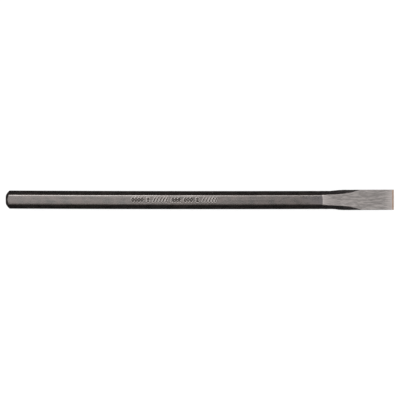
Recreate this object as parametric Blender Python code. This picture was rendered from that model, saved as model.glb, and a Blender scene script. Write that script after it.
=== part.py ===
"""Cold chisel with a 5/8 in blade, forged and ground from a 12 in length of 1/2 in hexagonal tool steel bar.

The real tool is a single forging, so the model is a single solid. Its three stretches follow the order in
which such a chisel is made: the hexagonal bar, the head crowned on a lathe, and the blade, which is
forged to a wedge, ground on both faces and sharpened with two bevels.

Frame: +X runs from the struck head to the cutting edge, +Z out of the flat that carries the stamping,
and the origin is below the middle of the tool, on the flat that it lies on.
Lengths are in millimetres, and each becomes metres where a mesh is made.
"""

import math

import bmesh
import bpy
from mathutils import Matrix, Vector

MM = 0.001

# Driving dimensions
LENGTH = 304.8  # 12 in, over all
ACROSS_FLATS = 12.7  # 1/2 in hexagonal bar
CORNER_RADIUS = 1.2  # rolled edges of the bar
BLADE_WIDTH = 15.9  # 5/8 in
BLADE_LENGTH = 56.9  # shoulder to cutting edge

# Struck head: a crowned end with a small flat in its middle
CROWN_RADIUS = 8.9
CROWN_FLAT_RADIUS = 3.7
BLANK_RADIUS = 8.5  # the lathe takes away what lies outside the crown, and nothing of the bar

# Ground faces of the blade
ENTRY_RUN = 3.0  # the face turns down from the bar's flat in about twice this length
HOLLOW_DEPTH = 0.2  # the grinding wheel leaves the wedge this much hollow at its middle
BROKEN_EDGE = 0.12  # small flat along the blade's long edges
SHARP_RADIUS = 0.024  # what is left of the rounding at an edge between two ground faces

# Cutting edge
BEVEL_LENGTH = 1.5
EDGE_ANGLE = math.radians(60)
EDGE_LAND = 0.15  # thickness left at the very edge

# Where the forging spreads the bar sideways, as distances past the shoulder
SPREAD_START = 5.6
SPREAD_END = 16.6
FACE_STEP = 0.3  # the ground face soon gains this much on each side, because it cuts the bar's rounded edge
FACE_SLOPE = 0.04  # its slow growth from there on, as on a plain hexagon
FLARE_START = 12.4
FLARE_END = 30.2  # from here on the ground face is as wide as the blade

# Worked out from the above
HALF_FLATS = ACROSS_FLATS / 2
HEX_SIDE_HALF = HALF_FLATS * math.tan(math.radians(30))  # half of one side of the hexagon
HEX_CORNER = HALF_FLATS / math.cos(math.radians(30))  # axis to a sharp corner
# A rounded hexagon corner is drawn as two fillets that meet at the middle of a short upright wall.
ROUND_WALL_HALF = CORNER_RADIUS * math.tan(math.radians(15))
ROUND_CORNER = HEX_CORNER - ROUND_WALL_HALF / math.tan(math.radians(60))
BLADE_HALF = BLADE_WIDTH / 2
HEAD_X = -LENGTH / 2
EDGE_X = LENGTH / 2
SHOULDER_X = EDGE_X - BLADE_LENGTH
BEVEL_START = BLADE_LENGTH - BEVEL_LENGTH
BEVEL_HALF_THICKNESS = EDGE_LAND / 2 + BEVEL_LENGTH * math.tan(EDGE_ANGLE / 2)
WEDGE_SLOPE = (HALF_FLATS - BEVEL_HALF_THICKNESS) / (BEVEL_START - ENTRY_RUN)
FACE_LEFT = BLADE_HALF - HEX_SIDE_HALF - FACE_STEP - FACE_SLOPE * FLARE_END
FLARE_RATE = FACE_LEFT / (FLARE_END - FLARE_START) ** 2

# Fineness of the mesh
FILLET_STEPS = 3
ENTRY_ROWS = 7
FLARE_ROWS = 16
WEDGE_ROWS = 5
CROWN_STEPS = 10
CROWN_SEGMENTS = 72


def ease(start, end, at):
    """Smooth step from 0 at start to 1 at end."""
    t = min(1.0, max(0.0, (at - start) / (end - start)))
    return t * t * (3 - 2 * t)


def half_thickness(s):
    """Half the tool's thickness at a distance s past the shoulder: the bar, the ground wedge, then the bevel."""
    if s <= 0:
        return HALF_FLATS
    if s >= BEVEL_START:
        return EDGE_LAND / 2 + (BLADE_LENGTH - s) * math.tan(EDGE_ANGLE / 2)
    t = s / BEVEL_START
    wedge = WEDGE_SLOPE * (s - ENTRY_RUN * (1 - math.exp(-s / ENTRY_RUN)))
    hollow = HOLLOW_DEPTH * 4 * t * (1 - t)
    return HALF_FLATS - wedge - hollow


def side_half(s):
    """Half the tool's width at s: the rounded corner of the bar, spread by the forging to the blade's width."""
    return ROUND_CORNER + (BLADE_HALF - ROUND_CORNER) * ease(SPREAD_START, SPREAD_END, s)


def broken_edge(s):
    """Width of the small flat along the blade's long edges, which shrinks with the bevel."""
    return min(BROKEN_EDGE, 0.4 * half_thickness(s))


def face_half(s):
    """Half the width of the flat or of the ground face at s. It flares as a parabola up to the blade's width."""
    if s <= 0:
        return HEX_SIDE_HALF
    step = FACE_STEP * (1 - math.exp(-s / ENTRY_RUN))
    flare = FLARE_RATE * max(0.0, s - FLARE_START) ** 2
    return min(HEX_SIDE_HALF + step + FACE_SLOPE * s + flare, BLADE_HALF - broken_edge(s))


def wall_half(s):
    """Half the height of the upright side wall, which opens from the bar's corner to the blade's whole side."""
    if s <= SPREAD_START:
        return ROUND_WALL_HALF
    whole = half_thickness(s) - broken_edge(s)
    if s >= FLARE_END:
        return whole
    end_height = half_thickness(FLARE_END) - broken_edge(FLARE_END)
    t = (s - SPREAD_START) / (FLARE_END - SPREAD_START)
    return min(whole, ROUND_WALL_HALF + (end_height - ROUND_WALL_HALF) * t * t)


def fillet(before, corner, after, radius):
    """Points of an arc that rounds one corner of a section, shortened where the sides are short."""
    into = (before - corner).normalized()
    out = (after - corner).normalized()
    half_angle = math.acos(max(-1.0, min(1.0, into.dot(out)))) / 2
    reach = radius / math.tan(half_angle)
    reach = min(reach, 0.5 * (before - corner).length, 0.5 * (after - corner).length)
    radius = reach * math.tan(half_angle)
    centre = corner + (into + out).normalized() * (radius / math.sin(half_angle))
    start = corner + into * reach - centre
    turn = math.pi - 2 * half_angle
    points = []
    for step in range(FILLET_STEPS + 1):
        angle = -turn * step / FILLET_STEPS
        points.append(centre + Matrix.Rotation(angle, 2) @ start)
    return points


def section(s):
    """Outline of the tool at s, as (y, z) about the bar's axis: an octagon with rounded corners."""
    thick, face, side, wall = half_thickness(s), face_half(s), side_half(s), wall_half(s)
    face_radius = CORNER_RADIUS + (SHARP_RADIUS - CORNER_RADIUS) * ease(0, SPREAD_START, s)
    side_radius = CORNER_RADIUS + (SHARP_RADIUS - CORNER_RADIUS) * ease(SPREAD_START, FLARE_END, s)
    quarter = [(face, thick, face_radius), (side, wall, side_radius)]
    right = quarter + [(y, -z, r) for y, z, r in reversed(quarter)]
    corners = right + [(-y, z, r) for y, z, r in reversed(right)]
    outline = []
    for i, (y, z, radius) in enumerate(corners):
        before = Vector(corners[i - 1][:2])
        after = Vector(corners[(i + 1) % len(corners)][:2])
        outline += fillet(before, Vector((y, z)), after, radius)
    return outline


def section_places():
    """Distances past the shoulder, negative on the bar, at which the outline is drawn."""
    entry = [SPREAD_START * i / ENTRY_ROWS for i in range(ENTRY_ROWS)]
    flare = [SPREAD_START + (FLARE_END - SPREAD_START) * i / FLARE_ROWS for i in range(FLARE_ROWS)]
    wedge = [FLARE_END + (BEVEL_START - FLARE_END) * i / WEDGE_ROWS for i in range(WEDGE_ROWS + 1)]
    return [HEAD_X - SHOULDER_X] + entry + flare + wedge + [BLADE_LENGTH]


def lofted_bar():
    """The bar and its blade: outlines joined one to the next and closed at both ends."""
    mesh = bmesh.new()
    rings = []
    for s in section_places():
        x = SHOULDER_X + s
        rings.append([mesh.verts.new(Vector((x, y, z)) * MM) for y, z in section(s)])
    for near, far in zip(rings, rings[1:]):
        for i in range(len(near)):
            j = (i + 1) % len(near)
            mesh.faces.new((near[i], near[j], far[j], far[i]))
    mesh.faces.new(rings[0])
    mesh.faces.new(rings[-1])
    bmesh.ops.recalc_face_normals(mesh, faces=mesh.faces)
    return mesh


def turned_blank():
    """What the lathe leaves: a crowned head on a blank that is wider than the rest of the tool."""
    flat_angle = math.asin(CROWN_FLAT_RADIUS / CROWN_RADIUS)
    blank_angle = math.asin(BLANK_RADIUS / CROWN_RADIUS)
    centre_x = HEAD_X + CROWN_RADIUS * math.cos(flat_angle)
    profile = [(HEAD_X, 0.0)]
    for step in range(CROWN_STEPS + 1):
        angle = flat_angle + (blank_angle - flat_angle) * step / CROWN_STEPS
        profile.append((centre_x - CROWN_RADIUS * math.cos(angle), CROWN_RADIUS * math.sin(angle)))
    past_edge = EDGE_X + BLANK_RADIUS
    profile += [(past_edge, BLANK_RADIUS), (past_edge, 0.0)]

    mesh = bmesh.new()
    points = [mesh.verts.new(Vector((x, 0, r)) * MM) for x, r in profile]
    lines = [mesh.edges.new(pair) for pair in zip(points, points[1:])]
    bmesh.ops.spin(
        mesh,
        geom=points + lines,
        cent=(0, 0, 0),
        axis=(1, 0, 0),
        angle=math.tau,
        steps=CROWN_SEGMENTS,
        use_duplicate=False,
    )
    bmesh.ops.remove_doubles(mesh, verts=mesh.verts, dist=0.001 * MM)
    bmesh.ops.recalc_face_normals(mesh, faces=mesh.faces)
    return mesh


def add_object(name, mesh):
    """Turns a bmesh into an object that stands with its axis half the bar's thickness above the origin."""
    data = bpy.data.meshes.new(name)
    mesh.to_mesh(data)
    mesh.free()
    made = bpy.data.objects.new(name, data)
    made.location.z = HALF_FLATS * MM
    bpy.context.scene.collection.objects.link(made)
    return made


def blackened_steel():
    """Blackened tool steel with a satin shine."""
    material = bpy.data.materials.new("blackened_steel")
    material.use_nodes = True
    shader = material.node_tree.nodes["Principled BSDF"]
    shader.inputs["Base Color"].default_value = (0.075, 0.068, 0.064, 1)
    shader.inputs["Metallic"].default_value = 1.0
    shader.inputs["Roughness"].default_value = 0.38
    return material


def main():
    for old in list(bpy.data.objects):
        bpy.data.objects.remove(old)

    blank = add_object("turned_blank", turned_blank())
    blank.hide_render = True
    blank.display_type = "WIRE"

    chisel = add_object("chisel_body", lofted_bar())
    chisel.data.materials.append(blackened_steel())
    chisel.data.shade_smooth()
    chisel.data.set_sharp_from_angle(angle=math.radians(20))
    crown = chisel.modifiers.new("crowned_head", "BOOLEAN")
    crown.operation = "INTERSECT"
    crown.object = blank


main()
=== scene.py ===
# %% [markdown]
# # A cold chisel, worked out as one surface
#
# A cold chisel cuts cold metal under a hammer. It is a single piece of tool steel with four regions: a
# crowned head, a long hexagonal bar, a shoulder where the forging begins, and a flat wedge with two sharpened
# bevels. Nothing on it comes apart, so the fine model is one closed skin too. It is described by a handful of
# formulae, one for each thing that a smith, a lathe or a grinding belt does to the bar, and numpy turns them
# into points all at once. The skin then gets four finishes: blackened bar, blackened head, ground steel and
# the straw colour of the bevels.

# %% Load the solid model that this skin covers
import math

import bpy
import numpy as np
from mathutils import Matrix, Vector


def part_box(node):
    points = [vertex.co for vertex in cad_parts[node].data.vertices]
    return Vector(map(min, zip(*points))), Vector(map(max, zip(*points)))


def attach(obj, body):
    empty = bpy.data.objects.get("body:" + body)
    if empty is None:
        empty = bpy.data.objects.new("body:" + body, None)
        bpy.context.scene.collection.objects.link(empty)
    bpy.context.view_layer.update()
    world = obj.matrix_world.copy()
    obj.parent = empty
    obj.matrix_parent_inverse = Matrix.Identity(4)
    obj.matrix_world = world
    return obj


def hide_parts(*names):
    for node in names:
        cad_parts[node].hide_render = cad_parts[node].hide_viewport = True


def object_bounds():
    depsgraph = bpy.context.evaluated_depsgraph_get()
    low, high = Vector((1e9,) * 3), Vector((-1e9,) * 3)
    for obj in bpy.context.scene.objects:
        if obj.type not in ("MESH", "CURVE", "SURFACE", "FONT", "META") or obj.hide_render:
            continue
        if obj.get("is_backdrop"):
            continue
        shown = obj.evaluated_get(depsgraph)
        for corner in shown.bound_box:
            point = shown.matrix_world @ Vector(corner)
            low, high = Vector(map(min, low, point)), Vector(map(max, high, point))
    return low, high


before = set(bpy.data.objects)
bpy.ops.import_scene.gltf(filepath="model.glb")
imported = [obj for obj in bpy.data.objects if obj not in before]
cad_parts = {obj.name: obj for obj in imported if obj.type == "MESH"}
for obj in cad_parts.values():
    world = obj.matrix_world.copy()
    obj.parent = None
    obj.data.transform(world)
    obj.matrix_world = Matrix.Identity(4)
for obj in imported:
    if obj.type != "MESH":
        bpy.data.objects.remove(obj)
solid_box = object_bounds()

# %% [markdown]
# ## Sizes
#
# The length, the blade's width and the bar's thickness are read from the solid model, so the skin can't drift
# away from it. The other sizes say how the tool is made: how round the bar's edges are, how far the grinding
# reaches, how steep the bevels are. All sizes of the tool are in millimetres and become Blender's metres only
# when the mesh is made. The floor, the lamps and the camera are placed in metres.

# %% Driving sizes in millimetres
MM = 0.001
low, high = (np.array(corner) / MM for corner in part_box("chisel_body"))
LENGTH, BLADE_WIDTH, ACROSS_FLATS = high - low
HEAD_X, AXIS_Z = low[0], (low[2] + high[2]) / 2

CORNER_RADIUS = 1.2  # rolled edges of the bar
FLAT_CROWN = 0.05  # each flat is this much higher in its middle, as drawn bar is
BLADE_LENGTH = 56.9  # shoulder to cutting edge
CROWN_RADIUS = 8.9  # the struck end is part of a sphere
CROWN_FLAT_RADIUS = 3.7  # with a small flat in its middle
CROWN_EDGE_RADIUS = 0.35  # softened edge where the crown meets the bar
ENTRY_RUN = 3.0  # the ground face turns down from the bar's flat in about twice this length
HOLLOW_DEPTH = 0.2  # the belt's wheel leaves the wedge this much hollow
BROKEN_EDGE = 0.12  # small flat along the blade's long edges
BROKEN_SHARE = 0.4  # and never more than this share of half the thickness
SHARP_RADIUS = 0.04  # rounding left where two ground faces meet
BEVEL_LENGTH = 1.5
EDGE_ANGLE = math.radians(60)
EDGE_LAND = 0.15  # thickness at the very edge
SPREAD_START, SPREAD_END = 5.6, 16.6  # where the forging widens the bar, past the shoulder
FACE_STEP, FACE_SLOPE = 0.3, 0.04  # early growth of the ground face on each side
FLARE_START, FLARE_END = 12.4, 30.2  # where it opens to the blade's whole width

# %% Sizes that follow from them
HALF_FLATS = ACROSS_FLATS / 2
HEX_SIDE_HALF = HALF_FLATS * math.tan(math.radians(30))
HEX_CORNER = HALF_FLATS / math.cos(math.radians(30))  # from the axis to a sharp corner
ROUND_WALL_HALF = CORNER_RADIUS * math.tan(math.radians(15))
ROUND_CORNER = HEX_CORNER - ROUND_WALL_HALF / math.tan(math.radians(60))  # to a rounded one
BLADE_HALF = BLADE_WIDTH / 2
BEVEL_START = BLADE_LENGTH - BEVEL_LENGTH
BEVEL_HALF_THICKNESS = EDGE_LAND / 2 + BEVEL_LENGTH * math.tan(EDGE_ANGLE / 2)
BLADE_SLOPE = (HALF_FLATS - BEVEL_HALF_THICKNESS) / (BEVEL_START - ENTRY_RUN)
SHOULDER = LENGTH - BLADE_LENGTH  # distance from the struck end
print(f"{LENGTH:.1f} mm long, {ACROSS_FLATS:.2f} mm across flats, blade {BLADE_WIDTH:.2f} mm wide")

# %% [markdown]
# ## The cross-section and how it changes
#
# Cut the tool anywhere and the outline is an octagon with rounded corners: a face on top, a sloping facet
# beside it, an upright wall, and the same mirrored. On the bar the walls are almost nothing, which makes it a
# rounded hexagon. On the blade the facets shrink to a hair and it becomes a flat rectangle. So four numbers
# describe every cut: half the thickness, half the face's width, half the whole width, half the wall's height.
# Each is a function of s, the distance past the shoulder. A loft between drawn profiles could do the same,
# but formulae keep the flare smooth at any fineness.


# %% Four functions that shape the tool
def ease(start, end, at):
    """Smooth step: 0 before start, 1 after end, and 3t^2 - 2t^3 between them."""
    t = np.clip((at - start) / (end - start), 0, 1)
    return t * t * (3 - 2 * t)


def half_thickness(s):
    """The flat, then a wedge that starts gently and is a little hollow, cut off by the steep bevel."""
    past = np.clip(s, 0, BEVEL_START)
    t = past / BEVEL_START
    wedge = BLADE_SLOPE * (past - ENTRY_RUN * (1 - np.exp(-past / ENTRY_RUN)))
    face = HALF_FLATS - wedge - HOLLOW_DEPTH * 4 * t * (1 - t)
    return np.minimum(face, EDGE_LAND / 2 + (BLADE_LENGTH - s) * math.tan(EDGE_ANGLE / 2))


def broken_edge(s):
    """The small flat on the long edges gets smaller with the bevel."""
    return np.minimum(BROKEN_EDGE, BROKEN_SHARE * half_thickness(s))


def face_half(s):
    """A side of the hexagon, then a quick step where the belt cuts the rounded edge, a slow slope and, from
    the start of the flare, a parabola up to the blade's whole width."""
    past = np.maximum(s, 0)
    left_over = BLADE_HALF - HEX_SIDE_HALF - FACE_STEP - FACE_SLOPE * FLARE_END
    flare = left_over * (np.maximum(0, s - FLARE_START) / (FLARE_END - FLARE_START)) ** 2
    grown = HEX_SIDE_HALF + FACE_STEP * (1 - np.exp(-past / ENTRY_RUN)) + FACE_SLOPE * past + flare
    return np.minimum(grown, BLADE_HALF - broken_edge(s))


def side_half(s):
    """The rounded corner of the bar, eased out to the blade's width."""
    return ROUND_CORNER + (BLADE_HALF - ROUND_CORNER) * ease(SPREAD_START, SPREAD_END, s)


def wall_half(s):
    """Grows as a square from the bar's corner to the blade's whole side, then follows the wedge."""
    whole = half_thickness(s) - broken_edge(s)
    at_end = half_thickness(FLARE_END) - broken_edge(FLARE_END)
    t = np.clip((s - SPREAD_START) / (FLARE_END - SPREAD_START), 0, 1)
    grown = ROUND_WALL_HALF + (at_end - ROUND_WALL_HALF) * t * t
    return np.where(s < FLARE_END, np.minimum(whole, grown), whole)


for s in (-SHOULDER, 0, 15, 30, BLADE_LENGTH):
    sizes = [float(part(s)) * 2 for part in (half_thickness, face_half, side_half, wall_half)]
    print(f"s = {s:6.1f}: thickness, face, width, wall =", " ".join(f"{size:6.2f}" for size in sizes))

# %% [markdown]
# ## Columns round the outline
#
# A grid needs the same columns in every cross-section. They are shared out by what they have to show: the top
# face has many, because the stamping is cut into it, the fillets have enough to look round, and the plain
# facets have few. The loop starts in the middle of the bottom face, so that the one seam of the texture map
# lies underneath.

# %% Where the columns sit
STAMP_HALF_HEIGHT = 2.3
FLAT_HALF = HEX_SIDE_HALF - CORNER_RADIUS * math.tan(math.radians(30))  # up to where the rounding starts
stamped = np.linspace(-STAMP_HALF_HEIGHT, STAMP_HALF_HEIGHT, 35)
beside = np.linspace(STAMP_HALF_HEIGHT, FLAT_HALF, 5)[1:-1]
across_top = np.concatenate([-beside[::-1], stamped, beside])
FRACTIONS = {  # columns as shares of a side's length, without its two ends
    "top": (across_top / FLAT_HALF + 1) / 2,
    "facet": np.linspace(0, 1, 9)[1:-1],
    "wall": np.linspace(0, 1, 7)[1:-1],
    "bottom": np.linspace(0, 1, 11)[1:-1],
}
SIDE_NAMES = ["facet", "wall", "facet", "top", "facet", "wall", "facet", "bottom"]
ARC_STEPS = [6, 3, 3, 6, 6, 3, 3, 6]  # steps in the fillet at the start of each side
FILLET_ROOM = 0.49  # a fillet may use up this share of the side next to it
SWELL_RUN = 8.0  # the flats of the bar lose their swelling over this length before the shoulder
print(len(across_top), "columns on the flat part of the top,", sum(ARC_STEPS), "steps in the eight fillets")


# %% Cross-sections as whole arrays
def left_of(direction):
    """A quarter turn to the left, which points out of an outline that is walked clockwise."""
    return np.stack([-direction[..., 1], direction[..., 0]], -1)


def unit(vectors):
    """Vectors divided by their own length."""
    return vectors / np.linalg.norm(vectors, axis=-1, keepdims=True)


def outlines(s):
    """Cross-sections at every s as (row, column, yz), and the side of each column: k on the straight side k,
    and -1 - k in the fillet before it. A fillet's normals turn evenly from one side's to the next one's, and
    each flat of the bar swells by a parabola."""
    flat_crown = FLAT_CROWN * (1 - ease(-SWELL_RUN, 0, s))
    a, c, b, h = face_half(s), half_thickness(s), side_half(s), wall_half(s)
    y = np.stack([-a, -b, -b, -a, a, b, b, a], 1)
    z = np.stack([-c, -h, h, c, c, h, -h, -c], 1)
    corners = np.stack([y, z], 2)
    into, out = np.roll(corners, 1, 1) - corners, np.roll(corners, -1, 1) - corners
    room = FILLET_ROOM * np.minimum(np.linalg.norm(into, axis=2), np.linalg.norm(out, axis=2))
    into, out = unit(into), unit(out)
    face_radius = CORNER_RADIUS + (SHARP_RADIUS - CORNER_RADIUS) * ease(0, SPREAD_START, s)
    side_radius = CORNER_RADIUS + (SHARP_RADIUS - CORNER_RADIUS) * ease(SPREAD_START, FLARE_END, s)
    radius = np.stack([face_radius, side_radius, side_radius, face_radius] * 2, 1)
    turn = np.arccos(np.clip(-(into * out).sum(2), -1, 1))
    reach = np.minimum(radius * np.tan(turn / 2), room)
    radius = (reach / np.tan(turn / 2))[..., None]
    start, end = corners + into * reach[..., None], corners + out * reach[..., None]
    normal_in, normal_out = left_of(-into), left_of(out)
    centre = start - normal_in * radius

    parts, side_of = [], []
    for k, name in enumerate(SIDE_NAMES):
        t = np.linspace(0, 1, ARC_STEPS[k] + 1)[None, :, None]
        angle = turn[:, k, None, None]
        bent = np.sin((1 - t) * angle) * normal_in[:, k, None] + np.sin(t * angle) * normal_out[:, k, None]
        parts.append(centre[:, k, None] + radius[:, k, None] * bent / np.sin(angle))
        side_of.append(np.full(t.size, -1 - k))
        t = FRACTIONS[name][None, :, None]
        straight = end[:, k, None] * (1 - t) + start[:, (k + 1) % 8, None] * t
        swell = 0 if name == "wall" else flat_crown[:, None, None] * 4 * t * (1 - t)
        parts.append(straight + swell * normal_out[:, k, None])
        side_of.append(np.full(t.size, k))
    seam = len(FRACTIONS["bottom"]) // 2 + 1
    return np.roll(np.concatenate(parts, 1), seam, 1), np.roll(np.concatenate(side_of), seam)


(bar_outline,), side_of = outlines(np.array([-SHOULDER]))
is_top = side_of == 3
on_face = np.isin(side_of, [3, 7, -1, -4, -5, -8])  # the two ground faces with the fillets beside them
print(len(side_of), "columns,", is_top.sum(), "of them on the top face")

# %% [markdown]
# ## Rows along the tool
#
# Rows are close together where something happens, and far apart where the bar is plain. The struck end is
# different: a lathe cuts it round while the bar is hexagonal, so the edge between them is a scalloped curve.
# If the rows were plane cuts, they would cross that edge and make it ragged. Instead every column walks along
# the crown's circle until it meets its own part of the bar, turns through a small curve there, and goes on
# along the flat. The edge is then a row of its own.

# %% The crowned head
CROWN_ROWS, CROWN_EDGE_ROWS = 20, 5
HEAD_END = 4.4  # the scallops lie before this distance


def crowned_head(outline):
    """Distance from the struck end and distance from the axis, both as (row, column): a circle from the flat
    to the bar, then a short curve with the corner between them as its control point."""
    reached = np.linalg.norm(outline, axis=1)
    first = math.asin(CROWN_FLAT_RADIUS / CROWN_RADIUS)
    last = np.arcsin(reached / CROWN_RADIUS)
    reach = CROWN_EDGE_RADIUS * np.tan((math.pi / 2 - last) / 2)
    t = np.linspace(0, 1, CROWN_ROWS + 1)[:, None]
    angle = first + (last - reach / CROWN_RADIUS - first) * t
    along, out = CROWN_RADIUS * (math.cos(first) - np.cos(angle)), CROWN_RADIUS * np.sin(angle)
    corner = CROWN_RADIUS * (math.cos(first) - np.cos(last))
    t = np.linspace(0, 1, CROWN_EDGE_ROWS + 1)[1:, None]
    edge_along = (1 - t) ** 2 * along[-1] + 2 * t * (1 - t) * corner + t * t * (corner + reach)
    edge_out = (1 - t) ** 2 * out[-1] + (2 * t * (1 - t) + t * t) * reached
    return np.concatenate([along, edge_along]), np.concatenate([out, edge_out])


head_along, head_out = crowned_head(bar_outline)
nearest_end, farthest_end = head_along[-1].min(), head_along[-1].max()
print(f"the crown meets the bar between {nearest_end:.2f} and {farthest_end:.2f} mm from the end")

# %% Where the other rows lie, as distances from the struck end
STAMP_START, STAMP_END = 99.0, 165.8


def spaced(start, end, step):
    """Even steps of about that size from start up to, but without, end."""
    return np.linspace(start, end, max(1, round((end - start) / step)), endpoint=False)


stretches = [  # start, end and step
    (HEAD_END, STAMP_START - 1, 4.0),  # plain bar
    (STAMP_START - 1, STAMP_END + 1, 0.16),  # stamping
    (STAMP_END + 1, SHOULDER - 12, 4.0),  # plain bar
    (SHOULDER - 12, SHOULDER - 3, 0.75),  # where the forging starts
    (SHOULDER - 3, SHOULDER, 0.25),  # the dish before the shoulder
    (SHOULDER, SHOULDER + SPREAD_START, 0.25),  # where the ground face turns down
    (SHOULDER + SPREAD_START, SHOULDER + FLARE_END + 1, 0.5),  # flare
    (SHOULDER + FLARE_END + 1, SHOULDER + BEVEL_START, 0.9),  # wedge
    (SHOULDER + BEVEL_START, LENGTH, 0.25),  # bevel
]
places = np.concatenate([spaced(*stretch) for stretch in stretches] + [[LENGTH]])
past_shoulder = places - SHOULDER
along = np.concatenate([head_along, np.repeat(places[:, None], len(side_of), 1)])
yz = np.concatenate([head_out[..., None] * unit(bar_outline), outlines(past_shoulder)[0]])
shoulder_row = len(head_along) + int(np.argmin(abs(past_shoulder)))
bevel_row = len(head_along) + int(np.argmin(abs(past_shoulder - BEVEL_START)))
print(along.shape, "points in the grid")

# %% [markdown]
# ## What forging and grinding leave behind
#
# A drop hammer spreads the end of the bar, and the sides it squeezes out are never quite flat. The top of the
# bar sinks a little just before the shoulder. The grinding belt is slack, so it wraps over the edges of the
# bar and bites there first, which bows the line where the bright face starts. The blade flares a little later
# on one side than on the other, and hardening has bent the whole bar by a hair. These are small moves of
# points that already exist, so they are added to the grid as plain formulae and need no new faces.

# %% The dish before the shoulder and the bowed shoulder line
DISH_DEPTH, DISH_RUN = 0.05, 4.0
BOW_DEPTH, BOW_RUN, BOW_TILT = 0.6, 3.0, 0.15

s = along - SHOULDER
across = yz[..., 0] / face_half(s)  # from -1 to 1 on the face
inside = np.clip(1 - np.abs(across) ** 3, 0, 1) * on_face
dish = DISH_DEPTH * np.exp(-((s / DISH_RUN) ** 2)) * inside * np.where(s < 0, 1, np.exp(-s))
yz[..., 1] -= np.sign(yz[..., 1]) * dish
bow = BOW_DEPTH * inside - BOW_TILT * np.clip(across, -1, 1) * on_face
along += bow * np.exp(-((s / BOW_RUN) ** 2))
print(f"deepest dish {dish.max():.3f} mm, largest bow {bow.max():.2f} mm")

# %% Uneven sides, the late flare and the bend
WAVE_HEIGHT = 0.035
FORGED_START, FORGED_FULL = -14, -2  # the sides get uneven before the shoulder
EVEN_AGAIN = FLARE_END + 2  # where the unevenness has faded
LATE_FLARE = 1.5  # the flare of one side comes later than that of the other
BEND = 0.38  # the middle of the bar lies this far to one side of its ends

forged = ease(FORGED_START, FORGED_FULL, s) * (1 - ease(FLARE_END - 6, EVEN_AGAIN, s)) * ~on_face
side = np.sign(yz[..., 0])
# three waves whose lengths have no common measure, out of step on the two sides
wave = np.sin(0.71 * s + side)
wave += 0.6 * np.sin(1.37 * s + 0.8 * yz[..., 1] + 2 * side)
wave += 0.4 * np.sin(0.31 * s * side)
uneven = WAVE_HEIGHT * forged * wave
yz += uneven[..., None] * unit(yz)
late = ease(1, 8, s) * (1 - ease(EVEN_AGAIN, BEVEL_START - 2, s))
along += LATE_FLARE * late * np.clip(-across, 0, 1)
yz[..., 0] -= BEND * (1 - (2 * along / LENGTH - 1) ** 2)
print(f"largest unevenness {abs(uneven).max():.3f} mm, bend {BEND} mm")

# %% [markdown]
# ## Stamped marks
#
# The line stamped on the flat is a row of plain geometric marks: lozenges, roofs, slashes and rungs. A punch
# pushes steel down in a narrow groove and raises a small lip beside it. Carving with Boolean cutters would
# leave sharp walls and thousands of slivers. Here the depth is a function of the distance to the nearest
# stroke of any mark, a bell curve for the groove and a lower one for the lip, so the grid simply bends down
# and up. Because only the nearest stroke counts, the lips of two neighbours merge and never pile up.

# %% Marks as strokes in a box one wide and one high
MARKS = {
    "lozenge": [((0, 0.5), (0.5, 0)), ((0.5, 0), (0, -0.5)), ((0, -0.5), (-0.5, 0)), ((-0.5, 0), (0, 0.5))],
    "roofs": [((-0.5, 0), (0, 0.5)), ((0, 0.5), (0.5, 0)), ((-0.5, -0.5), (0, 0)), ((0, 0), (0.5, -0.5))],
    "slash": [((-0.4, -0.5), (0.4, 0.5))],
    "rungs": [((-0.4, 0.42), (0.4, 0.42)), ((-0.4, 0), (0.4, 0)), ((-0.4, -0.42), (0.4, -0.42))],
}
GROUPS = [("lozenge", 4), ("rungs", 1), ("slash", 5), ("roofs", 3)]  # a wider gap follows each group
GROUPS += [("lozenge", 3), ("rungs", 1), ("slash", 5)]
MARK_WIDTH, MARK_HEIGHT, MARK_PITCH = 1.75, 3.0, 2.4
MARK_DROP = 0.25  # the line sits a little below the middle of the flat
MARK_WANDER, WANDER_TURN = 0.12, 2.3  # and each mark a little above or below the line
BLOW_SPREAD, BLOW_TURN = 0.15, 1.7  # no two blows of the hammer are alike
line = [mark for mark, repeats in GROUPS for _ in range(repeats)]
print(len(line), "marks in", len(GROUPS), "groups")

# %% Grooves and lips
GROOVE_DEPTH, GROOVE_WIDTH = 0.22, 0.32
LIP_HEIGHT, LIP_PLACE, LIP_WIDTH = 0.10, 0.70, 0.27  # its crest lies that far from the stroke


def stroke_distance(px, py, start, end):
    """Distance from points to a straight stroke: square onto its line, or to its end from beyond the ends."""
    run = end - start
    t = np.clip(((px - start[0]) * run[0] + (py - start[1]) * run[1]) / (run @ run), 0, 1)
    return np.hypot(px - start[0] - t * run[0], py - start[1] - t * run[1])


def stamping(px, py):
    """How far the punches move the flat at each point, in millimetres: grooves below zero, lips above."""
    gap = (STAMP_END - STAMP_START - MARK_WIDTH - (len(line) - 1) * MARK_PITCH) / (len(GROUPS) - 1)
    size = np.array([MARK_WIDTH, MARK_HEIGHT])
    nearest, blow = np.full_like(px, STAMP_END - STAMP_START), np.ones_like(px)
    at, number = STAMP_START + MARK_WIDTH / 2, 0
    for mark, repeats in GROUPS:
        for _ in range(repeats):
            centre = np.array([at, MARK_WANDER * math.sin(WANDER_TURN * number) - MARK_DROP])
            strokes = [(centre + size * a, centre + size * b) for a, b in MARKS[mark]]
            distance = np.min([stroke_distance(px, py, a, b) for a, b in strokes], axis=0)
            hardness = 1 + BLOW_SPREAD * math.sin(BLOW_TURN * number)
            blow = np.where(distance < nearest, hardness, blow)
            nearest = np.minimum(nearest, distance)
            at, number = at + MARK_PITCH, number + 1
        at += gap
    groove = GROOVE_DEPTH * np.exp(-((nearest / GROOVE_WIDTH) ** 2))
    lip = LIP_HEIGHT * np.exp(-(((nearest - LIP_PLACE) / LIP_WIDTH) ** 2))
    return blow * (lip - groove)


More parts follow.
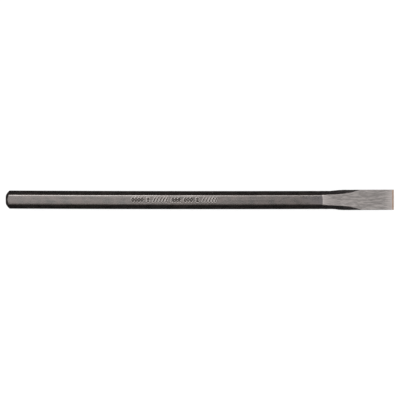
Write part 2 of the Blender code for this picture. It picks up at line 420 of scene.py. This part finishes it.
stamp = np.zeros_like(along)
stamped_rows = (along[:, 0] > STAMP_START - 1) & (along[:, 0] < STAMP_END + 1)
place = np.ix_(stamped_rows, is_top)
stamp[place] = stamping(along[place], yz[..., 0][place])
yz[..., 1] += stamp
print(f"stamping between {stamp.min():.2f} and {stamp.max():.2f} mm")

# %% [markdown]
# ## Closing the ends and making the mesh
#
# The grid is a tube. At the struck end a few smaller rings and a middle point close the flat of the crown,
# and at the other end the thin land of the edge is closed by a fan from its middle. Vertices and faces are
# handed to Blender as whole arrays. Every face takes its finish from where it lies: bright from the shoulder
# on, tinted on the bevels, and turned where the lathe cut the crown.

# %% Points and faces
FLAT_RINGS = [0.35, 0.65, 0.88, 0.97]  # as shares of the flat's radius
TURNED_ROWS = CROWN_ROWS + CROWN_EDGE_ROWS - 2  # to just past the middle of the softened edge

rows, columns = along.shape
rings = np.array(FLAT_RINGS)[:, None, None] * yz[0]
all_along = np.concatenate([np.zeros((len(rings), columns)), along])
all_yz = np.concatenate([rings, yz])
x = HEAD_X + all_along
points = np.stack([x, all_yz[..., 0], AXIS_Z + all_yz[..., 1]], 2).reshape(-1, 3)
head_pole, edge_pole = len(points), len(points) + 1
points = np.concatenate([points, [[HEAD_X, 0, AXIS_Z], [HEAD_X + LENGTH, 0, AXIS_Z]]])

first = len(FLAT_RINGS)  # row of the crown's inner edge
total_rows = rows + first
here = np.arange(columns)
after = (here + 1) % columns
row = np.arange(total_rows - 1)[:, None] * columns
quads = np.stack([row + here, row + columns + here, row + columns + after, row + after], 2).reshape(-1, 4)
last = (total_rows - 1) * columns
head_fan = np.stack([np.full(columns, head_pole), here, after], 1)
edge_fan = np.stack([np.full(columns, edge_pole), last + after, last + here], 1)

BLACK, TURNED, GROUND, TINTED = range(4)
face_on = on_face & on_face[after]
finish = np.full((total_rows - 1, columns), BLACK)
finish[: first + TURNED_ROWS] = TURNED
finish[first + shoulder_row :, face_on] = GROUND
finish[first + bevel_row :] = TINTED
finish = np.concatenate([finish.ravel(), np.full(columns, TURNED), np.full(columns, TINTED)])
print(len(quads), "quads and", 2 * columns, "triangles in the two fans")

# %% [markdown]
# ## A map for painting the skin
#
# A tool thirty centimetres long and four round is a poor fit for a square texture. The skin is therefore slit
# along the bottom and cut in three lengths, which lie one above the other and fill the square. The scale is
# nearly true: one direction is the distance walked along the tool, the other the distance walked round it,
# both measured on the grid itself.

# %% Work out the map
STRIP_CUTS = [97.5, 201.0]  # the stamping stays whole on the middle strip
STRIP_GAP = 2.0
DISC_HEIGHT, LAND_HEIGHT = 0.25, 0.7  # the flat of the crown and the land lie beside the first strip
LAND_STRETCH = 8  # the thin land is drawn thicker on the map, so that it is more than a line

grid = np.stack([x, all_yz[..., 0], all_yz[..., 1]], 2)
step_along = np.linalg.norm(np.diff(grid, axis=0), axis=2).mean(1)
walked = np.concatenate([[0], np.cumsum(step_along)]) - step_along[:first].sum()
step_round = np.linalg.norm(np.diff(np.concatenate([grid, grid[:, :1]], 1), axis=1), axis=2)
round_it = np.concatenate([np.zeros((total_rows, 1)), np.cumsum(step_round, 1)], 1)
round_it -= round_it[:, -1:] / 2
cuts = [first] + [int(np.argmin(abs(all_along[:, 0] - cut))) for cut in STRIP_CUTS] + [total_rows - 1]
heights = [2 * round_it[a : b + 1].max() for a, b in zip(cuts, cuts[1:])]
lengths = [walked[b] - walked[a] for a, b in zip(cuts, cuts[1:])]
map_wide = max(lengths[0] + 4 * CROWN_FLAT_RADIUS, max(lengths)) + 2 * STRIP_GAP
map_high = sum(heights) + STRIP_GAP * (len(heights) + 1)

corner_u = np.zeros((total_rows - 1, columns, 4))
corner_v = np.zeros_like(corner_u)
base = STRIP_GAP
for start, end, height in zip(cuts, cuts[1:], heights):
    u = walked[start : end + 1] - walked[start] + STRIP_GAP
    v = round_it[start : end + 1] + base + height / 2
    part = slice(start, end)
    corner_u[part] = np.stack([u[:-1], u[1:], u[1:], u[:-1]], 1)[:, None, :]
    corner_v[part] = np.stack([v[:-1, :-1], v[1:, :-1], v[1:, 1:], v[:-1, 1:]], 2)
    base += height + STRIP_GAP

disc_u = map_wide - STRIP_GAP - CROWN_FLAT_RADIUS
disc_v, land_v = STRIP_GAP + heights[0] * DISC_HEIGHT, STRIP_GAP + heights[0] * LAND_HEIGHT
ring = rings.reshape(-1, 2)
inner = np.concatenate([ring, yz[0]]).reshape(first + 1, columns, 2) + [disc_u, disc_v]
turned = np.stack([inner[:-1], inner[1:], inner[1:][:, after], inner[:-1][:, after]], 2)
corner_u[:first], corner_v[:first] = turned[..., 0], turned[..., 1]
centre = np.tile([disc_u, disc_v], (columns, 1))
head_uv = np.stack([centre, inner[0], inner[0][after]], 1)
land = yz[-1][:, ::-1] * [LAND_STRETCH, 1] + [disc_u, land_v]
land_centre = np.tile([disc_u, land_v], (columns, 1))
edge_uv = np.stack([land_centre, land[after], land], 1)
quad_uv = np.stack([corner_u, corner_v], 3)
uv = np.concatenate([part.reshape(-1, 2) for part in (quad_uv, head_uv, edge_uv)])
uv /= [map_wide, map_high]
print(f"map of {map_wide:.0f} by {map_high:.0f} mm, coordinates from {uv.min(0)} to {uv.max(0)}")


# %% Hand everything to Blender
SMOOTH_UP_TO = math.radians(18)  # a sharper turn between two faces shows as an edge


def skin_mesh(name, points, faces, uv):
    """Builds a mesh from whole arrays: faces is a list of arrays, each with its own number of corners."""
    mesh = bpy.data.meshes.new(name)
    corners = np.concatenate([part.ravel() for part in faces])
    sizes = np.concatenate([np.full(len(part), part.shape[1]) for part in faces])
    mesh.vertices.add(len(points))
    mesh.vertices.foreach_set("co", (points * MM).astype(np.float32).ravel())
    mesh.loops.add(len(corners))
    mesh.loops.foreach_set("vertex_index", corners.astype(np.int32))
    mesh.polygons.add(len(sizes))
    mesh.polygons.foreach_set("loop_start", (np.cumsum(sizes) - sizes).astype(np.int32))
    mesh.update(calc_edges=True)
    mesh.uv_layers.new(name="OFBake").uv.foreach_set("vector", uv.astype(np.float32).ravel())
    return mesh


mesh = skin_mesh("chisel_skin", points, [quads, head_fan, edge_fan], uv)
mesh.polygons.foreach_set("material_index", finish.astype(np.int32))
mesh.shade_smooth()
mesh.set_sharp_from_angle(angle=SMOOTH_UP_TO)
print("mesh problems mended:", mesh.validate())


# %% Is it closed, and does it look outwards?
def volume_and_open_edges(points, faces):
    """The volume by the divergence theorem, a sixth of the sum of a . (b x c) over all triangles, which is
    above zero when the faces look outwards. And the number of edges that aren't walked once each way."""
    fans = [part[:, [0, k, k + 1]] for part in faces for k in range(1, part.shape[1] - 1)]
    a, b, c = points[np.concatenate(fans)].transpose(1, 0, 2)
    walks = np.concatenate([np.stack([part, np.roll(part, -1, 1)], 2).reshape(-1, 2) for part in faces])
    there, back = walks @ [1 << 32, 1], walks @ [1, 1 << 32]
    return (a * np.cross(b, c)).sum() / 6, len(np.setxor1d(there, back))


volume, open_edges = volume_and_open_edges(points, [quads, head_fan, edge_fan])
print(f"the skin holds {volume / 1000:.2f} cm3 of steel and has {open_edges} open edges")

# %% [markdown]
# ## Two masks
#
# Handling rubs the black skin thin along the bar's edges. The rub mask is also a painted highlight: the top
# edge towards the lamp at the back gets the most, the top edge on the far side little, and the lips of the
# stamping get it in full. The second mask is painted shade at the bottom of the stamped grooves. Both follow
# the shape, so they are written on the mesh as attributes, where a material can read them. The rub is a bell
# curve of the distance to the sharp hexagon that the bar would be without its rounding. No two edges get the
# same share, and the half near the head, where the hand holds it, is rubbed most.

# %% Write the masks on the mesh
RUB_AND_HIGHLIGHT_WIDTH = 0.55
EDGE_RUB_AND_HIGHLIGHT = np.array([0.35, 1.0, 0.4, 0.35, 0.8, 0.9])  # the six edges, from the +Y one over the top; the uneven shares are partly a painted highlight on the top edge towards the back lamp
RUB_AND_HIGHLIGHT_FADE, FADE_START, FADE_END = 0.35, 140.0, 200.0  # less rub from the middle of the tool on
GROOVE_SHADE_POWER = 1.5  # above one, so the painted shade keeps to the bottom of the grooves

angles = np.radians([0, 60, 120, 180, 240, 300])
hexagon = HEX_CORNER * np.stack([np.cos(angles), np.sin(angles)], 1)
to_corner = np.linalg.norm(bar_outline[:, None] - hexagon[None], axis=2)
rub_and_highlight = np.exp(-((to_corner.min(1) / RUB_AND_HIGHLIGHT_WIDTH) ** 2)) * EDGE_RUB_AND_HIGHLIGHT[to_corner.argmin(1)]
rub_and_highlight = rub_and_highlight * (1 - RUB_AND_HIGHLIGHT_FADE * ease(FADE_START, FADE_END, all_along))
rub_and_highlight[: first + CROWN_ROWS - 1] = 0  # the crown has no such edges
# the lips of the stamping get the painted highlight in full
rub_and_highlight[first:] = np.maximum(rub_and_highlight[first:], np.clip(stamp / LIP_HEIGHT, 0, 1))
# painted shade at the bottom of the stamped grooves
groove = np.concatenate([np.zeros((first, columns)), np.clip(-stamp / GROOVE_DEPTH, 0, 1) ** GROOVE_SHADE_POWER])
for name, values in (("rub_and_highlight", rub_and_highlight), ("groove", groove)):
    layer = mesh.attributes.new(name, "FLOAT", "POINT")
    layer.data.foreach_set("value", np.append(values.ravel(), [0, 0]).astype(np.float32))
print("rub between", rub_and_highlight.min().round(2), "and", rub_and_highlight.max().round(2))

# %% [markdown]
# ## Building blocks for the finishes
#
# All four finishes are bare metal, so they are the same shader with different patterns. A pattern is noise
# stretched along the tool, because drawing, rolling and grinding all leave their marks that way. The stretch
# is given as features per metre in each direction: a few dozen along the tool and thousands across it make
# scratches.


# %% Helpers for shader nodes
def add_node(tree, kind, settings=(), **inputs):
    """Adds a node, sets its own settings, and gives its inputs values or links."""
    node = tree.nodes.new(kind)
    for name, value in dict(settings).items():
        setattr(node, name, value)
    for name, value in inputs.items():
        socket = node.inputs[name.replace("_", " ")]
        if isinstance(value, bpy.types.NodeSocket):
            tree.links.new(value, socket)
        else:
            socket.default_value = value
    return node


def object_place(tree, centre=(0, 0, 0), stretch=(1, 1, 1)):
    """Coordinates on the object, moved so that centre is zero and then scaled by stretch."""
    here = add_node(tree, "ShaderNodeTexCoord").outputs["Object"]
    moved = add_node(tree, "ShaderNodeVectorMath", {"operation": "SUBTRACT"})
    tree.links.new(here, moved.inputs[0])
    moved.inputs[1].default_value = centre
    return add_node(tree, "ShaderNodeMapping", Vector=moved.outputs[0], Scale=stretch).outputs[0]


def place_along(tree):
    """The object's X, which runs along the tool."""
    return add_node(tree, "ShaderNodeSeparateXYZ", Vector=object_place(tree)).outputs["X"]


def rescaled(tree, value, low, high, start=0.0, end=1.0):
    """Carries low..high over to start..end and stops at both ends."""
    node = add_node(
        tree, "ShaderNodeMapRange", Value=value, From_Min=low, From_Max=high, To_Min=start, To_Max=end
    )
    return node.outputs[0]


def grain(tree, stretch, detail=3.0, distortion=0.0, low=0.35, high=0.65):
    """A pattern from 0 to 1 with that many features in a metre along X, Y and Z."""
    place = object_place(tree, stretch=stretch)
    noise = add_node(
        tree, "ShaderNodeTexNoise", Vector=place, Scale=1.0, Detail=detail, Distortion=distortion
    )
    return rescaled(tree, noise.outputs[0], low, high)


def combined(tree, operation, first, second):
    """One step of arithmetic on two patterns or numbers."""
    node = tree.nodes.new("ShaderNodeMath")
    node.operation = operation
    for socket, value in zip(node.inputs, (first, second)):
        if isinstance(value, bpy.types.NodeSocket):
            tree.links.new(value, socket)
        else:
            socket.default_value = value
    return node.outputs[0]


def mixed(tree, share, first, second):
    """A colour between first and second."""
    node = tree.nodes.new("ShaderNodeMix")
    node.data_type = "RGBA"
    for socket, value in ((node.inputs[0], share), (node.inputs[6], first), (node.inputs[7], second)):
        if isinstance(value, bpy.types.NodeSocket):
            tree.links.new(value, socket)
        elif socket.type == "RGBA":
            socket.default_value = (*value, 1)
        else:
            socket.default_value = value
    return node.outputs[2]


def metal(name):
    """A new metal material: its node tree and its shader."""
    material = bpy.data.materials.new(name)
    material.use_nodes = True
    shader = material.node_tree.nodes["Principled BSDF"]
    shader.inputs["Metallic"].default_value = 1.0
    return material, material.node_tree, shader


def finish_with(tree, shader, colour, roughness, *bumps):
    """Links the colour and the roughness, and stacks bumps given as (height, depth in millimetres)."""
    tree.links.new(colour, shader.inputs["Base Color"])
    tree.links.new(roughness, shader.inputs["Roughness"])
    normal = None
    for height, depth in bumps:
        bump = add_node(tree, "ShaderNodeBump", Height=height, Distance=depth * MM)
        if normal:
            tree.links.new(normal, bump.inputs["Normal"])
        normal = bump.outputs[0]
    tree.links.new(normal, shader.inputs["Normal"])


# %% [markdown]
# ## Blackened bar
#
# Hardening leaves a thin dark skin of oxide on the bar. It is not paint: the drawing marks of the bar show
# through it, it varies in soft blotches, and it is rubbed thin on the edges. The rubbed steel is also a
# painted highlight along the edge towards the back lamp and on the lips of the stamping, and the bottom of
# the stamped grooves is darkened as painted shade. Towards the shoulder the heat of forging has left it
# bluish and duller.

# %% The black finish
SHOULDER_X = (HEAD_X + SHOULDER) * MM
BLACK_WARM, BLACK_COOL = (0.270, 0.240, 0.230), (0.168, 0.164, 0.160)
# the deep black is painted shade in the stamped grooves, and dark specks on the head
BLACK_DEEP, BLACK_BLUE = (0.035, 0.032, 0.030), (0.360, 0.350, 0.374)
# the rubbed steel colour is also a painted highlight along the bar's edges and on the stamping's lips
DRAWN_STEEL, RUBBED_STEEL_AND_HIGHLIGHT = (0.490, 0.468, 0.453), (0.850, 0.815, 0.790)
DRAWN_SHARE = 0.36  # how far the drawing marks lighten the black
HEATED_RUN, HEATED_SHARE = 18.0, 0.6  # the bluish stretch before the shoulder
GROOVE_SHADE_SHARE = 0.85  # how far the painted shade darkens the bottom of a groove


def blackened_bar():
    material, tree, shader = metal("blackened_bar")
    drawn = grain(tree, (14, 2600, 2600), detail=4.0)
    blotches = grain(tree, (130, 230, 230), detail=4.0, distortion=0.6)
    specks = grain(tree, (1900, 2300, 2300), detail=2.0)
    colour = mixed(tree, blotches, BLACK_COOL, BLACK_WARM)
    colour = mixed(tree, combined(tree, "MULTIPLY", drawn, DRAWN_SHARE), colour, DRAWN_STEEL)

    along = place_along(tree)
    heated = rescaled(tree, along, SHOULDER_X - HEATED_RUN * MM, SHOULDER_X, 0.0, HEATED_SHARE)
    colour = mixed(tree, heated, colour, BLACK_BLUE)
    rub_and_highlight = add_node(tree, "ShaderNodeAttribute", {"attribute_name": "rub_and_highlight"}).outputs["Fac"]
    patchy = grain(tree, (60, 900, 900), detail=3.0)
    # rubbed steel and a painted highlight, strongest on the top edge towards the back lamp
    worn_and_highlight = combined(tree, "MULTIPLY", rub_and_highlight, rescaled(tree, patchy, 0, 1, 0.5, 0.9))
    colour = mixed(tree, worn_and_highlight, colour, RUBBED_STEEL_AND_HIGHLIGHT)
    groove = add_node(tree, "ShaderNodeAttribute", {"attribute_name": "groove"}).outputs["Fac"]
    # painted shade at the bottom of the stamped grooves
    colour = mixed(tree, combined(tree, "MULTIPLY", groove, GROOVE_SHADE_SHARE), colour, BLACK_DEEP)

    roughness = rescaled(tree, specks, 0, 1, 0.25, 0.35)
    roughness = combined(tree, "ADD", roughness, rescaled(tree, blotches, 0, 1, -0.03, 0.03))
    polish = combined(tree, "MULTIPLY", worn_and_highlight, 0.12)  # rubbed steel is smoother than the black
    roughness = combined(tree, "SUBTRACT", roughness, polish)
    finish_with(tree, shader, colour, roughness, (drawn, 0.004), (specks, 0.006))
    return material


# %% [markdown]
# ## Blackened head
#
# The crown is turned before hardening. Under the same dark oxide it keeps the fine rings of the cutting tool,
# which are drawn here as a wave of the distance from the tool's axis.

# %% The turned finish
RING_PITCH = 0.28  # from one turned ring to the next
WAVES_PER_TURN = 20  # the wave texture draws this many rings in each turn of its scale


def turned_head():
    material, tree, shader = metal("turned_head")
    place = object_place(tree, centre=(0, 0, AXIS_Z * MM))
    wave_scale = math.tau / (WAVES_PER_TURN * RING_PITCH * MM)
    wave = add_node(
        tree,
        "ShaderNodeTexWave",
        {"wave_type": "RINGS", "rings_direction": "X"},
        Vector=place,
        Scale=wave_scale,
        Distortion=0.6,
        Detail=2.0,
    )
    specks = grain(tree, (2100, 2100, 2100), detail=2.0)
    blotches = grain(tree, (260, 260, 260), detail=3.0)
    colour = mixed(tree, blotches, BLACK_COOL, BLACK_WARM)
    colour = mixed(tree, combined(tree, "MULTIPLY", specks, 0.35), colour, BLACK_DEEP)
    roughness = rescaled(tree, blotches, 0, 1, 0.34, 0.46)
    finish_with(tree, shader, colour, roughness, (wave.outputs["Fac"], 0.006), (specks, 0.008))
    return material


# %% [markdown]
# ## Ground blade
#
# A belt takes the black off the two faces of the wedge and leaves bright steel with long, slightly wavy
# scratches. Broad streaks change the colour a little and fine ones only the roughness and the slope, so that
# the face glints in bands and not in dots. Both ends of the face are painted lighter, as a painted highlight
# where the slope of the face catches the overhead lamp.

# %% The bright finish
BEVEL_X = (HEAD_X + SHOULDER + BEVEL_START) * MM
STEEL_BRIGHT, STEEL_DULL = (0.750, 0.722, 0.712), (0.415, 0.400, 0.395)
STEEL_HIGHLIGHT = (0.930, 0.890, 0.880)  # lighter at both ends of the face: a painted highlight where the slope catches the overhead lamp
HIGHLIGHT_TO_BEVEL, BEVEL_HIGHLIGHT_SHARE = 6.0, 0.75  # on the last millimetres before the bevel
HIGHLIGHT_FROM_SHOULDER, SHOULDER_HIGHLIGHT_SHARE = 8.0, 0.85  # and on the first ones past the shoulder


def ground_blade():
    material, tree, shader = metal("ground_blade")
    streaks = grain(tree, (130, 1250, 1250), detail=3.0, distortion=0.5, low=0.41, high=0.59)
    scratches = grain(tree, (90, 5200, 5200), detail=4.0, distortion=0.3)
    clouds = grain(tree, (70, 130, 130), detail=2.0)
    most, rest = combined(tree, "MULTIPLY", streaks, 0.8), combined(tree, "MULTIPLY", clouds, 0.2)
    colour = mixed(tree, combined(tree, "ADD", most, rest), STEEL_DULL, STEEL_BRIGHT)
    along = place_along(tree)
    # painted highlight: lighter towards the bevel and just past the shoulder
    bevel_highlight = rescaled(tree, along, BEVEL_X - HIGHLIGHT_TO_BEVEL * MM, BEVEL_X, 0.0, BEVEL_HIGHLIGHT_SHARE)
    colour = mixed(tree, bevel_highlight, colour, STEEL_HIGHLIGHT)
    shoulder_highlight = rescaled(tree, along, SHOULDER_X, SHOULDER_X + HIGHLIGHT_FROM_SHOULDER * MM, SHOULDER_HIGHLIGHT_SHARE, 0.0)
    colour = mixed(tree, shoulder_highlight, colour, STEEL_HIGHLIGHT)
    roughness = rescaled(tree, scratches, 0, 1, 0.34, 0.44)
    roughness = combined(tree, "ADD", roughness, rescaled(tree, streaks, 0, 1, 0.03, -0.03))
    finish_with(tree, shader, colour, roughness, (streaks, 0.014), (scratches, 0.005))
    return material


# %% [markdown]
# ## Sharpened bevels
#
# The edge is tempered: heated until a straw-brown film grows on the bright steel. The film is thickest where
# the bevel starts and thin at the edge itself, where the last stroke of the stone has gone over it.

# %% The straw finish
STRAW, BRONZE, HONED = (0.700, 0.530, 0.425), (0.600, 0.440, 0.350), (0.640, 0.590, 0.555)
HONED_RUN, HONED_SHARE = 0.3, 0.8  # the last strokes of the stone, up to the edge


def tempered_bevel():
    material, tree, shader = metal("tempered_bevel")
    scratches = grain(tree, (420, 1900, 1900), detail=3.0)
    film = grain(tree, (300, 170, 300), detail=2.0)
    colour = mixed(tree, film, BRONZE, STRAW)
    along = place_along(tree)
    edge_x = (HEAD_X + LENGTH) * MM
    honed = rescaled(tree, along, edge_x - HONED_RUN * MM, edge_x, 0.0, HONED_SHARE)
    colour = mixed(tree, honed, colour, HONED)
    roughness = rescaled(tree, scratches, 0, 1, 0.30, 0.42)
    finish_with(tree, shader, colour, roughness, (scratches, 0.005))
    return material


# %% Put the finishes on the skin
for make in (blackened_bar, turned_head, ground_blade, tempered_bevel):
    mesh.materials.append(make())
chisel = bpy.data.objects.new("chisel", mesh)
bpy.context.scene.collection.objects.link(chisel)
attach(chisel, "root")
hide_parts("chisel_body")
print("finishes:", [material.name for material in mesh.materials])

# %% [markdown]
# ## Floor and light
#
# Polished flats are mirrors, so what they reflect decides how they look. The chisel lies on a light table, a
# white floor that glows by itself, so it stays white with hardly any shadow and leaves the lamps free for the
# metal. Each lamp has one job, and all are gentle, because bare steel mirrors a strong lamp as a white patch
# as soon as the view changes:
#
# - the overhead softbox is what the top flat and the blade mirror, and makes them grey;
# - the strip at the back draws the bright line along the upper edge;
# - the panel beyond the tip lights the bevel, and the one beyond the head lights the crown;
# - two cards in front are not seen from above at all, and keep the blade bright in low views.
#
# The facets slope away and mirror what lies below the horizon. The floor is left out of the reflections and
# the surroundings get darker downwards, as with black cards round a table, so the facets stay black.

# %% Floor
FLOOR_HALF = 4.0  # metres
TABLE_GLOW = 0.87  # a little under white, and the daylight of the surroundings adds the rest

floor_mesh = bpy.data.meshes.new("floor")
floor_corners = [(-FLOOR_HALF, -FLOOR_HALF, 0), (FLOOR_HALF, -FLOOR_HALF, 0)]
floor_corners += [(FLOOR_HALF, FLOOR_HALF, 0), (-FLOOR_HALF, FLOOR_HALF, 0)]
floor_mesh.from_pydata(floor_corners, [], [(0, 1, 2, 3)])
floor = bpy.data.objects.new("floor", floor_mesh)
bpy.context.scene.collection.objects.link(floor)
floor.visible_glossy = False
floor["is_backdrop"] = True

light_table = bpy.data.materials.new("light_table")
light_table.use_nodes = True
tree, shader = light_table.node_tree, light_table.node_tree.nodes["Principled BSDF"]
frosting = grain(tree, (300, 300, 300), detail=3.0)
frosted = mixed(tree, frosting, (0.15, 0.15, 0.15), (0.17, 0.17, 0.17))
tree.links.new(frosted, shader.inputs["Base Color"])
shader.inputs["Emission Color"].default_value = (1, 1, 1, 1)
shader.inputs["Emission Strength"].default_value = TABLE_GLOW
shader.inputs["Roughness"].default_value = 0.9
shader.inputs["Specular IOR Level"].default_value = 0.1
floor_mesh.materials.append(light_table)

# %% Surroundings: bright to the camera, a dark-floored studio in the metal's reflections
AMBIENT = (1.1, 1.1, 1.1)
REFLECTED = [(0.0, 0.015), (0.42, 0.03), (0.52, 0.08), (0.66, 0.24), (0.80, 0.24), (1.0, 0.18)]  # down to up
REFLECTED_TINT = (1.0, 0.88, 0.82)  # a warm room
LEAN = 0.4  # brighter by this share towards +Y and darker towards -Y

world = bpy.data.worlds.new("studio")
world.use_nodes = True
bpy.context.scene.world = world
tree = world.node_tree
direction = add_node(tree, "ShaderNodeTexCoord").outputs["Generated"]
upward = add_node(tree, "ShaderNodeSeparateXYZ", Vector=direction).outputs["Z"]
ramp = tree.nodes.new("ShaderNodeValToRGB")
tree.links.new(rescaled(tree, upward, -1, 1), ramp.inputs[0])
while len(ramp.color_ramp.elements) < len(REFLECTED):
    ramp.color_ramp.elements.new(0.5)
for element, (position, level) in zip(ramp.color_ramp.elements, REFLECTED):
    element.position = position
    element.color = (*(level * tint for tint in REFLECTED_TINT), 1)
sideways = add_node(tree, "ShaderNodeSeparateXYZ", Vector=direction).outputs["Y"]
lean = rescaled(tree, sideways, -1, 1, 1 - LEAN, 1 + LEAN)
studio = add_node(tree, "ShaderNodeVectorMath", {"operation": "SCALE"}, Vector=ramp.outputs[0], Scale=lean)
in_reflection = add_node(tree, "ShaderNodeLightPath").outputs["Is Glossy Ray"]
tree.links.new(mixed(tree, in_reflection, AMBIENT, studio.outputs[0]), tree.nodes["Background"].inputs[0])


# %% Softboxes
def softbox(name, place, aim, size, brightness):
    """A rectangular light that faces aim. Its power is its brightness times pi times its area."""
    light = bpy.data.lights.new(name, "AREA")
    light.shape = "RECTANGLE"
    light.size, light.size_y = size
    light.energy = brightness * math.pi * size[0] * size[1]
    made = bpy.data.objects.new(name, light)
    made.location = place
    back = np.subtract(place, aim)
    made.rotation_euler = (math.atan2(np.hypot(back[0], back[1]), back[2]), 0, math.atan2(back[0], -back[1]))
    made.visible_camera = False
    bpy.context.scene.collection.objects.link(made)
    return made


softbox("overhead", (-0.33, 0.22, 1.35), (-0.33, 0.1, 0), (0.9, 0.8), 0.9)
softbox("back_strip", (-0.45, 0.88, 1.08), (-0.1, 0, 0), (1.4, 0.62), 1.65)
softbox("tip_panel", (1.0, 0.1, 0.85), (0.15, 0, 0), (0.8, 1.1), 0.68)
softbox("head_panel", (-1.05, 0.1, 0.38), (-0.15, 0, 0), (0.7, 0.5), 0.75)
softbox("front_right_card", (0.9, -0.9, 0.32), (0.1, 0, 0), (0.9, 0.6), 0.8)
softbox("front_left_card", (-0.9, -0.9, 0.32), (-0.1, 0, 0), (0.9, 0.6), 0.6)

# %% [markdown]
# ## Camera
#
# The view is from straight above, with the head on the left. A long lens keeps the bar's lines parallel, and
# the view is three per cent wider than the tool. The Standard view transform keeps white white, where the
# default one would turn the background grey.

# %% Camera
VIEW_TO_TOOL = 1.0318  # the width of the view in lengths of the tool
CAMERA_ASIDE = -0.28  # mm, so the tool lies a hair above the middle
CAMERA_TURN = math.radians(0.025)  # and a hair askew

camera_data = bpy.data.cameras.new("camera")
camera_data.lens = 150  # millimetres
camera = bpy.data.objects.new("camera", camera_data)
height = VIEW_TO_TOOL * LENGTH * MM * camera_data.lens / camera_data.sensor_width
camera.location = (0, CAMERA_ASIDE * MM, AXIS_Z * MM + height)
camera.rotation_euler.z = CAMERA_TURN
bpy.context.scene.collection.objects.link(camera)
bpy.context.scene.camera = camera
bpy.context.scene.view_settings.view_transform = "Standard"
print(f"camera {height:.3f} m above the tool's axis")

skin_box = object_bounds()
sizes = {"cad": [list(corner) for corner in solid_box], "visual": [list(corner) for corner in skin_box]}
print("solid", sizes["cad"], "skin", sizes["visual"])
